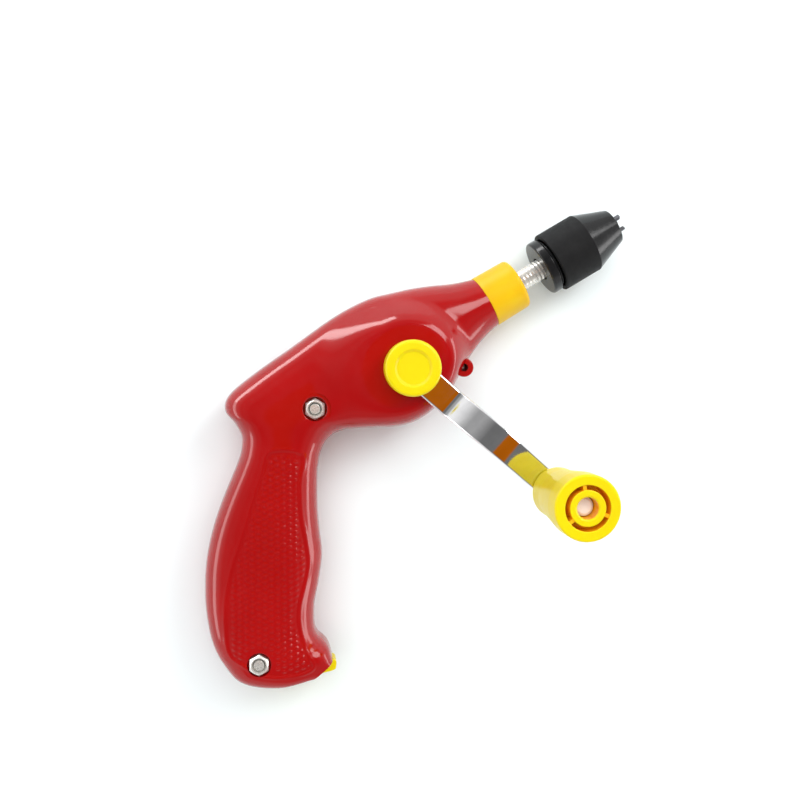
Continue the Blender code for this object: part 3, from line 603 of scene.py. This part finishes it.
def make_shell(node, side, boss_height):
    name = node + "_moulding"
    shell = body_solid(name, side, 0.0, boss_height, 1.0, relief=True)
    cavity = body_solid(name + "_cavity", side, WALL, boss_height, 3.0)
    nose_room = rod(name + "_nose_room", 8.0, 30.0, 45.0, NOSE, ALONG_X)
    combine(shell, [cavity, nose_room], "DIFFERENCE")
    added = [
        tube(name + "_spigot", 6.5, 8.5, 36.0, 52.0, NOSE, ALONG_X),
        tube(name + "_nose_ring", 7.0, 9.3, 35.0, 39.2, NOSE, ALONG_X),
        tube(name + "_bush_web", 6.3, 11.8, 27.0, 30.0, NOSE, ALONG_X),
        column(name + "_rear_post", REAR_BOLT, POST_R, -1.0, 13.6, side),
        column(name + "_butt_post", BUTT_BOLT, POST_R, -1.0, 13.2, side),
        column(name + "_lug", LUG, LUG_R, -1.0, LUG_RIGHT if side > 0 else LUG_LEFT, side, round_top=0.5),
        column(name + "_lay_post", LAY, 3.8, 9.4, boss_height - 3.0, side),
        column(name + "_pivot_post", DOOR_PIVOT, 2.1, 8.3, 11.0, side),
        column(name + "_hub_post", HUB[:2], 8.5, 9.6, boss_height - 1.0, side),
    ]
    combine(shell, added, "UNION")
    far = MID_Z - side * 60.0
    near = MID_Z + side * PART_GAP
    removed = [
        box(name + "_parting", (-150, -120, min(near, far)), (80, 60, max(near, far))),
        door_slot(name + "_slot"),
        column(name + "_rear_hole", REAR_BOLT, BOLT_HOLE_R, -2.0, 20.0, side),
        column(name + "_butt_hole", BUTT_BOLT, BOLT_HOLE_R, -2.0, 20.0, side),
        column(name + "_lay_hole", LAY, 2.1, 9.0, 12.0, side),
        column(name + "_pivot_hole", DOOR_PIVOT, 1.3, 8.0, 10.6, side),
    ]
    if side > 0:
        removed += [
            recess(name + "_rear_recess", REAR_BOLT, NUT_SEAT, SHELL_FACE, side),
            recess(name + "_butt_recess", BUTT_BOLT, NUT_SEAT, SHELL_FACE - BUTT_DROP, side),
            column(name + "_lug_hole", LUG, 1.5, -2.0, LUG_RIGHT + 2.0, side),
            column(name + "_hub_bore", HUB[:2], HUB_BORE_R, 8.0, 25.0, side),
        ]
    else:
        removed += [
            recess(name + "_rear_recess", REAR_BOLT, HEAD_SEAT, SHELL_FACE, side),
            recess(name + "_butt_recess", BUTT_BOLT, HEAD_SEAT, SHELL_FACE - BUTT_DROP, side),
            column(name + "_lug_hole", LUG, 1.9, -2.0, 8.0, side),
            column(name + "_lug_seat", LUG, 2.6, 4.0, 8.0, side),
            column(name + "_hub_bore", HUB[:2], HUB_BORE_R, 8.0, 14.2, side),
        ]
    combine(shell, removed, "DIFFERENCE")
    return finished(shell, [node], "housing", RED, 40)


def make_collar():
    back, front = low("nose_collar").x, high("nose_collar").x
    corners = [
        (5.4, front, 0.2), (10.0, front, 1.7), (10.3, back, 0.25), (8.8, back, 0.15),
        (8.8, front - 1.8, 0.1), (5.4, front - 1.8, 0.1),
    ]
    collar = lathe("nose_collar_ring", corners, NOSE, ALONG_X, 128, ring=True)
    finished(collar, ["nose_collar"], "housing", GOLD)


def slab_of(name, outline, half_width):
    """A plate between two heights about the parting plane, with a smoothed outline and eased edges."""
    points = [tuple(point) for point in closed_curve(outline, 4)]
    return soften(prism(name, points, MID_Z - half_width, MID_Z + half_width), 0.35, 3, 50)


def make_door():
    outline = [
        (-107.1, -75.9), (-105.6, -77.6), (-103.9, -79.0), (-99.0, -80.9), (-93.1, -82.4),
        (-88.0, -83.2), (-83.8, -83.3), (-82.6, -82.6), (-82.5, -81.2), (-86.0, -80.8),
        (-93.1, -80.3), (-99.0, -78.6), (-103.2, -76.6), (-103.6, -74.6), (-104.4, -73.1),
        (-105.6, -72.7), (-106.8, -73.2), (-107.4, -74.5),
    ]
    tab_outline = [
        (-90.0, -82.2), (-89.4, -83.8), (-85.8, -85.2), (-82.7, -86.0), (-81.6, -85.3),
        (-80.5, -83.4), (-81.8, -81.8), (-86.0, -81.6),
    ]
    door = slab_of("butt_door", outline, DOOR_HALF_WIDTH)
    tab = slab_of("butt_door_tab", tab_outline, TAB_HALF_WIDTH)
    half = (high("storage_door") - low("storage_door")).z / 2
    pin = rod("butt_door_pin", 1.15, MID_Z - half, MID_Z + half, (*DOOR_PIVOT, 0), ALONG_Z, 40, 0.2)
    combine(door, [tab, pin], "UNION")
    finished(door, ["storage_door"], "storage_door", YELLOW)


# ---- Fasteners ----


def make_bolt(node):
    spot, foot, tip = middle(node).xy, low(node).z, high(node).z
    head = MID_Z - HEAD_SEAT - 0.3
    corners = [
        (0, tip, 0), (1.85, tip, 0.25), (2.0, tip - 0.4, 0.1), (2.0, head, 0.1), (3.9, head, 0.15),
        (3.9, foot + 1.1, 0.6), (3.1, foot, 0.7), (0, foot, 0),
    ]
    bolt = lathe(node + "_machined", corners, (*spot, 0), ALONG_Z, 64)
    slot = box(node + "_slot", (spot.x - 5, spot.y - 0.5, foot - 1), (spot.x + 5, spot.y + 0.5, foot + 1.0))
    combine(bolt, [slot], "DIFFERENCE", "EXACT")
    finished(bolt, [node], "housing", STEEL)


def make_nut(node):
    """A hexagon nut with its corners turned off at both ends and a countersunk bore."""
    spot, bottom, top = middle(node).xy, low(node).z, high(node).z
    nut = prism(node + "_machined", circle(NUT_ACROSS / math.sqrt(3), 6, NUT_TURN), bottom, top, (*spot, 0))
    chamfer_corners = [
        (0, top, 0), (3.0, top, 0.15), (4.1, top - 1.0, 0.3), (4.1, bottom + 0.6, 0), (3.4, bottom, 0),
        (0, bottom, 0),
    ]
    chamfer = lathe(node + "_chamfer", chamfer_corners, (*spot, 0), ALONG_Z, 72)
    combine(nut, [chamfer], "INTERSECT", "EXACT")
    bore_corners = [
        (0, top + 1, 0), (2.75, top + 1, 0), (2.6, top, 0.1), (2.5, top - 0.3, 0), (2.5, top - 1.6, 0),
        (2.15, top - 1.8, 0), (2.15, bottom - 1, 0), (0, bottom - 1, 0),
    ]
    bore = lathe(node + "_bore", bore_corners, (*spot, 0), ALONG_Z, 72)
    combine(nut, [bore], "DIFFERENCE", "EXACT")
    soften(nut, 0.08, 2, 25)
    finished(nut, [node], "housing", STEEL, 30)


def make_lug_screw():
    foot, tip = low("lug_screw").z, high("lug_screw").z
    corners = [
        (0, tip, 0), (0.45, tip, 0.1), (1.2, tip - 1.5, 0.1), (1.2, foot + 2.2, 0.1),
        (2.3, foot + 1.2, 0.1), (2.3, foot, 0.5), (0, foot, 0),
    ]
    screw = lathe("lug_screw_machined", corners, (*LUG, 0), ALONG_Z, 48)
    finished(screw, ["lug_screw"], "housing", STEEL)


# ---- Chuck ----


def thread_rows(start, end, radius, depth, pitch, steps):
    """Rings of points whose radius follows a helical thread that fades out at both ends."""
    rows = []
    for x in np.arange(start, end, pitch / 10):
        fade = float(ease((x - start) / pitch) * ease((end - x) / pitch))
        ring = []
        for i in range(steps):
            phase = (x / pitch - i / steps) % 1.0
            ring.append((x, radius - depth * fade * abs(2 * phase - 1), TURN * i / steps))
        rows.append(ring)
    return rows


def make_spindle():
    """The spindle with a real helical thread where it shows between the collar and the chuck."""
    steps = 64
    back, front = low("spindle").x, high("spindle").x
    plain = [
        (back, 0.0), (back, 2.0), (back + 0.2, 2.2), (26.2, 2.2), (26.2, 3.8), (26.4, SPINDLE_R),
        (31.2, SPINDLE_R), (31.2, 3.5), (32.4, 3.5), (32.4, SPINDLE_R), (50.0, SPINDLE_R),
    ]
    rows = [[(x, radius, TURN * i / steps) for i in range(steps)] for x, radius in plain]
    rows += thread_rows(50.2, front - 0.6, SPINDLE_R, THREAD_DEPTH, THREAD_PITCH, steps)
    rows += [[(x, radius, TURN * i / steps) for i in range(steps)]
             for x, radius in [(front - 0.55, SPINDLE_R), (front, 3.5), (front, 0.0)]]
    verts = [(x, AXIS_Y + r * math.cos(a), MID_Z + r * math.sin(a)) for ring in rows for x, r, a in ring]
    faces = [
        (n * steps + i, n * steps + (i + 1) % steps, (n + 1) * steps + (i + 1) % steps, (n + 1) * steps + i)
        for n in range(len(rows) - 1) for i in range(steps)
    ]
    spindle = new_object("spindle_threaded", verts, faces)
    bm = bmesh.new()
    bm.from_mesh(spindle.data)
    bmesh.ops.remove_doubles(bm, verts=bm.verts, dist=1e-7)
    bmesh.ops.recalc_face_normals(bm, faces=bm.faces)
    bm.to_mesh(spindle.data)
    bm.free()
    finished(spindle, ["spindle"], "spindle", STEEL)


JAW_TILT = math.radians(13)
JAW_TURN = math.radians(-47)  # where the first jaw stands round the spindle, from +Z towards -Y
JAW_TIP = (102.0, 0, 2.9)


def jaw_box(name, width, below, above, back, front, index):
    """A cutter in one jaw's own frame, whose +X is forward and inward along its slide."""
    cutter = box(name, (back, -width / 2, below), (front, width / 2, above))
    metres = Matrix.Scale(MM, 4)
    place = (
        Matrix.Translation(Vector(NOSE))
        @ Matrix.Rotation(JAW_TURN + TURN * index / 3, 4, "X")
        @ Matrix.Translation(Vector(JAW_TIP))
        @ Matrix.Rotation(JAW_TILT, 4, "Y")
    )
    cutter.data.transform(metres @ place @ metres.inverted())
    return cutter


def make_chuck_body():
    back = low("chuck_body").x
    corners = [
        (2.6, 97.3, 0.2), (4.9, 97.3, 0.3), (7.0, 88.0, 0.5), (7.0, 69.6, 0.2), (10.1, 69.6, 0.3),
        (10.1, 69.0, 0.2), (10.9, 68.4, 0.5), (10.9, back, 1.0), (4.6, back, 0.3), (4.6, back + 0.9, 0.1),
        (4.3, back + 0.9, 0.1), (4.3, 72.0, 0.1), (2.6, 73.0, 0.1),
    ]
    body = lathe("chuck_core", corners, NOSE, ALONG_X, 120, ring=True)
    slots = [jaw_box(f"chuck_core_slot_{i}", 2.2, -2.7, 6.8, -27.6, 6.0, i) for i in range(3)]
    combine(body, slots, "DIFFERENCE", "EXACT")
    finished(body, ["chuck_body"], "spindle", SATIN_BLACK)


def make_sleeve():
    back, front = low("chuck_sleeve").x, high("chuck_sleeve").x
    corners = [
        (5.5, front, 0.3), (6.9, front, 0.6), (12.0, CONE_BASE, 0.25), (12.0, back, 0.5), (10.2, back, 0.3),
        (10.2, CONE_BASE + 0.2, 0.3), (8.6, 90.3, 0.2),
    ]
    sleeve = lathe("chuck_sleeve_cone", corners, NOSE, ALONG_X, 144, ring=True)
    finished(sleeve, ["chuck_sleeve"], "chuck_sleeve", [MATT_BLACK, SATIN_BLACK])
    for face in sleeve.data.polygons:
        face.material_index = int(face.center.x > CONE_BASE * MM)


def bevelled_copy(node, name, width, body, material):
    """A CAD node whose shape is right, with its sharp edges eased."""
    verts = [v.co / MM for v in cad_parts[node].data.vertices]
    faces = [list(p.vertices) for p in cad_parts[node].data.polygons]
    copy = new_object(name, verts, faces)
    bm = bmesh.new()
    bm.from_mesh(copy.data)
    bmesh.ops.remove_doubles(bm, verts=bm.verts, dist=1e-6)
    bmesh.ops.dissolve_limit(bm, angle_limit=math.radians(1), verts=bm.verts, edges=bm.edges)
    bmesh.ops.recalc_face_normals(bm, faces=bm.faces)
    bm.to_mesh(copy.data)
    bm.free()
    soften(copy, width, 2, 25)
    finished(copy, [node], body, material)


# ---- Crank ----

ARM_THICK = 2.0
ARM_LOW = low("crank_arm").z
ARM_RISE = high("crank_arm").z - ARM_LOW - ARM_THICK
ARM_BENDS = (18.7, 47.0)  # where the rise starts and ends, along the arm
ARM_KNEE = 3.0  # length of the tight bend that starts the rise
ARM_EDGE = 0.8  # rounding of the strip's edges
EYE_R = 9.9  # of the arm's hub end
TIP_R = 4.6  # of its knob end


def arm_lift(along):
    """Height of the arm above its hub end. It bends up tightly, and then levels out towards the knob."""
    start, end = ARM_BENDS
    steepest = 2 * ARM_RISE / (end - start)
    run = min(max(along, start), end) - start
    easing = end - start - ARM_KNEE
    if run < ARM_KNEE:
        return steepest * run**2 / (2 * ARM_KNEE)
    left = end - start - run
    return steepest * (ARM_KNEE + easing - left**2 / easing) / 2


def arm_half_width(along):
    round_hub = math.sqrt(max(EYE_R**2 - along**2, 0.0))
    if along < 0:
        return round_hub
    if along > CRANK_RADIUS:
        return math.sqrt(max(TIP_R**2 - (along - CRANK_RADIUS) ** 2, 0.0))
    return max(round_hub, 5.6 - 0.8 * along / CRANK_RADIUS)


def rounded_strip(half):
    """The arm's cross section at one place: a flat strip with rounded edges, as (across, height) points."""
    radius = min(ARM_EDGE, half)
    points = []
    for across, height, start in ((1, 1, 0), (-1, 1, 1), (-1, -1, 2), (1, -1, 3)):
        for step in range(6):
            angle = (start + step / 5) * TURN / 4
            points.append((
                across * (half - radius) + radius * math.cos(angle),
                height * (ARM_THICK / 2 - ARM_EDGE) + ARM_EDGE * math.sin(angle),
            ))
    return points


def make_arm():
    hub = [-EYE_R * math.cos(math.pi * i / 48) for i in range(1, 24)]
    shaft = [i * CRANK_RADIUS / 110 for i in range(110)]
    tip = [CRANK_RADIUS + TIP_R * math.sin(math.pi * i / 40) for i in range(20)]
    turn = Matrix.Rotation(CRANK_ANGLE, 3, "Z")
    verts = []
    for along in hub + shaft + tip:
        z = ARM_LOW + ARM_THICK / 2 + arm_lift(along)
        loop = [turn @ Vector((along, y, z + height)) for y, height in rounded_strip(arm_half_width(along))]
        verts += loop
    width = len(loop)
    last = len(verts) - width
    faces = [tuple(range(width)), tuple(range(last, len(verts)))]
    for row in range(0, last, width):
        ahead = row + width
        faces += [(row + i, row + (i + 1) % width, ahead + (i + 1) % width, ahead + i) for i in range(width)]
    arm = outward(new_object("crank_arm_strip", verts, faces))
    square = prism("arm_square", circle(4.4 / math.sqrt(2), 4, math.pi / 4 + CRANK_ANGLE), 30, 45)
    hole = rod("arm_hole", 2.0, 45.0, 55.0, (*KNOB, 0), ALONG_Z)
    combine(arm, [square, hole], "DIFFERENCE")
    finished(arm, ["crank_arm"], "crank", CHROME, 40)


def make_cap():
    bottom, top = low("hub_cap").z, high("hub_cap").z
    corners = [
        (0, top - 0.8, 0), (5.9, top - 0.8, 0.6), (6.9, top, 0.7), (10.3, top, 1.5), (10.3, bottom, 0.3),
        (8.4, bottom, 0.2), (8.4, bottom + 4.0, 0.2), (0, bottom + 4.0, 0),
    ]
    cap = lathe("hub_cap_dished", corners, HUB, ALONG_Z, 128)
    finished(cap, ["hub_cap"], "crank", YELLOW)


def make_knob():
    bottom, top = low("knob").z, high("knob").z
    shoulder = top - 7.6
    groove = top - 8.0
    groove_r = 7.6
    corners = [
        (3.6, top - 0.4, 0.3), (4.2, top, 0.2), (6.0, top, 0.35), (6.0, groove, 0.3), (groove_r, groove, 0.3),
        (groove_r, top, 0.35), (11.1, top, 0.9), (11.1, top - 9.0, 6.0), (9.2, bottom + 9.0, 6.0),
        (9.2, bottom, 0.8), (2.85, bottom, 0.2), (2.85, shoulder, 0.1), (3.6, shoulder, 0.1),
    ]
    knob = lathe("knob_moulding", corners, (*KNOB, 0), ALONG_Z, 144, ring=True)
    webs = []
    for index in range(3):
        web = box(f"knob_web_{index}", (5.2, -0.6, groove - 0.3), (8.2, 0.6, top - 0.5))
        angle = CRANK_ANGLE + TURN * index / 3 + math.radians(20)
        place = Matrix.Translation((KNOB.x * MM, KNOB.y * MM, 0)) @ Matrix.Rotation(angle, 4, "Z")
        web.data.transform(place)
        webs.append(web)
    combine(knob, webs, "UNION")
    finished(knob, ["knob"], "knob", [YELLOW, RECESS_SHADE_YELLOW])
    # The faces down in the groove and the bore take the darker orange yellow, which is painted shade and not
    # a colour of the plastic
    for face in knob.data.polygons:
        spot = face.center / MM
        recessed = groove - 1 < spot.z < top - 0.5 and (spot.xy - KNOB).length < groove_r + 0.1
        face.material_index = int(recessed)


def make_knob_pin():
    bottom, top = low("knob_pin").z, high("knob_pin").z
    arm_top = high("crank_arm").z
    rivet = arm_top - ARM_THICK - 0.3
    corners = [
        (0, top, 0), (2.4, top - 0.1, 0.6), (3.3, top - 0.8, 0.3), (3.3, top - 2.3, 0.1),
        (2.7, top - 2.3, 0.1), (2.7, arm_top + 0.3, 0.1), (1.7, arm_top + 0.3, 0.1), (1.7, rivet, 0.1),
        (3.0, rivet, 0.3), (2.4, rivet - 1.1, 0.3), (0, bottom, 0),
    ]
    pin = lathe("knob_pin_turned", corners, (*KNOB, 0), ALONG_Z, 64)
    finished(pin, ["knob_pin"], "crank", PALE_STEEL)


# ---- Stage, light and camera ----


def make_floor():
    floor = prism("floor", [(-3000, -3000), (3000, -3000), (3000, 3000), (-3000, 3000)], -20.0, -0.05)
    surface = Surface("pale_floor", IOR=1.3)
    surface.shader.inputs["Specular IOR Level"].default_value = 0.1
    surface.colour(surface.noise(3, 2.0), [(0.3, (0.885, 0.955, 0.965)), (0.7, (0.905, 0.975, 0.985))])
    surface.roughness(surface.noise(20), 0.7, 0.8)
    floor.data.materials.append(surface.material)


CAMERA_PLACE = Vector((-0.0360, 0.0286, 0.4198))
CAMERA_AIM = Vector((-0.0080, -0.0101, 0.0170))
IMAGE_UP = Vector((0.508, 0.860, 0.0))  # the picture's upright, along the drill's top
IMAGE_RIGHT = Vector((0.860, -0.508, 0.0))
LENS = 47.26

LAMP_DISTANCE = 1.15  # in metres, from the place that the camera aims at

# The tent's colour by angle from straight overhead, in degrees. The crank reflects the small orange patch.
TENT = [
    (0, (0.42, 0.1, 0.003)), (9.5, (0.44, 0.11, 0.003)), (11.5, (0.17, 0.17, 0.17)), (30, (0.16, 0.16, 0.16)),
    (38, (0.3, 0.3, 0.3)), (44, (0.4, 0.4, 0.4)), (52, (0.36, 0.36, 0.36)), (56, (0.5, 0.5, 0.5)),
    (62, (0.8, 0.8, 0.8)), (68, (1.0, 1.0, 1.0)), (90, (1.0, 1.0, 1.0)),
]


def hang(name, data, turn, height, reflected, scattered):
    """Places a lamp and aims it. turn is its bearing in the picture, in degrees from the right to the top."""
    bearing, rise = math.radians(turn), math.radians(height)
    towards = (IMAGE_RIGHT * math.cos(bearing) + IMAGE_UP * math.sin(bearing)) * math.cos(rise)
    towards.z = math.sin(rise)
    light = bpy.data.objects.new(name, data)
    bpy.context.scene.collection.objects.link(light)
    light.location = CAMERA_AIM + towards * LAMP_DISTANCE
    light.rotation_euler = (-towards).to_track_quat("-Z", "Y").to_euler()
    light.visible_glossy = reflected
    light.visible_diffuse = scattered
    light.visible_camera = False


def soft_box(name, turn, height, size, power, scattered=True):
    """A lit panel. One that isn't scattered shows only in reflections."""
    data = bpy.data.lights.new(name, "AREA")
    data.shape = "RECTANGLE"
    data.size, data.size_y = size
    data.energy = power
    hang(name, data, turn, height, True, scattered)


def sky(name, turn, height, spread, strength):
    """A broad, even light that reflections don't show."""
    data = bpy.data.lights.new(name, "SUN")
    data.angle = math.radians(spread)
    data.energy = strength
    hang(name, data, turn, height, False, True)


def make_light():
    """A white tent, darker overhead where the camera hangs, with a key, three low strips and a broad fill."""
    world = bpy.data.worlds.new("studio")
    bpy.context.scene.world = world
    world.use_nodes = True
    nodes, links = world.node_tree.nodes, world.node_tree.links
    direction = nodes.new("ShaderNodeTexCoord").outputs["Generated"]
    split = nodes.new("ShaderNodeSeparateXYZ")
    links.new(direction, split.inputs["Vector"])
    angle = nodes.new("ShaderNodeMath")
    angle.operation = "ARCCOSINE"
    links.new(split.outputs["Z"], angle.inputs[0])
    quarter = nodes.new("ShaderNodeMath")
    quarter.operation = "DIVIDE"
    quarter.inputs[1].default_value = math.pi / 2
    links.new(angle.outputs[0], quarter.inputs[0])
    ramp = nodes.new("ShaderNodeValToRGB")
    fill_ramp(ramp, [(degrees / 90, colour) for degrees, colour in TENT])
    links.new(quarter.outputs[0], ramp.inputs["Fac"])
    background = nodes["Background"]
    links.new(ramp.outputs["Color"], background.inputs["Color"])
    background.inputs["Strength"].default_value = 1.0
    soft_box("key", 45, 43, (0.4, 0.7), 5.2)
    for turn, power in ((127, 10.0), (180, 4.0), (0, 4.5)):
        soft_box(f"strip_{turn}", turn, 10, (1.2, 0.28), power, scattered=False)
    sky("fill", 120, 70, 62, 2.0)


def make_camera():
    data = bpy.data.cameras.new("camera")
    data.lens = LENS
    data.sensor_width = 36.0
    data.clip_start = 0.01
    camera = bpy.data.objects.new("camera", data)
    bpy.context.scene.collection.objects.link(camera)
    back = (CAMERA_PLACE - CAMERA_AIM).normalized()
    right = IMAGE_UP.cross(back).normalized()
    up = back.cross(right)
    camera.matrix_world = Matrix.Translation(CAMERA_PLACE) @ Matrix((right, up, back)).transposed().to_4x4()
    bpy.context.scene.camera = camera


KEPT_NODES = {
    STEEL: ["drive_shaft", "layshaft", "thrust_washer", "spindle_circlip", "crank_washer", "crank_stub",
            "crank_screw", "knob_washer"],
    BRASS: ["lay_pinion", "lay_bevel_gear", "spindle_pinion", "rear_spindle_bush", "front_spindle_bush",
            "chuck_nut"],
    NYLON: ["crank_gear", "shaft_bush_right", "shaft_bush_left"],
}

make_shell("right_shell", 1, BOSS_TOP)
make_shell("left_shell", -1, MID_Z)
make_collar()
make_door()
for bolt in ("rear_bolt", "butt_bolt"):
    make_bolt(bolt)
for nut in ("rear_nut", "butt_nut"):
    make_nut(nut)
make_lug_screw()
make_spindle()
make_chuck_body()
make_sleeve()
for number in (1, 2, 3):
    bevelled_copy(f"jaw_{number}", f"jaw_{number}_ground", 0.15, f"jaw_{number}", DARK_STEEL)
make_arm()
make_cap()
make_knob()
make_knob_pin()
for finish, kept in KEPT_NODES.items():
    for node in kept:
        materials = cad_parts[node].data.materials
        materials.clear()
        materials.append(finish)
make_floor()
make_light()
make_camera()
bpy.context.scene.view_settings.view_transform = "Standard"
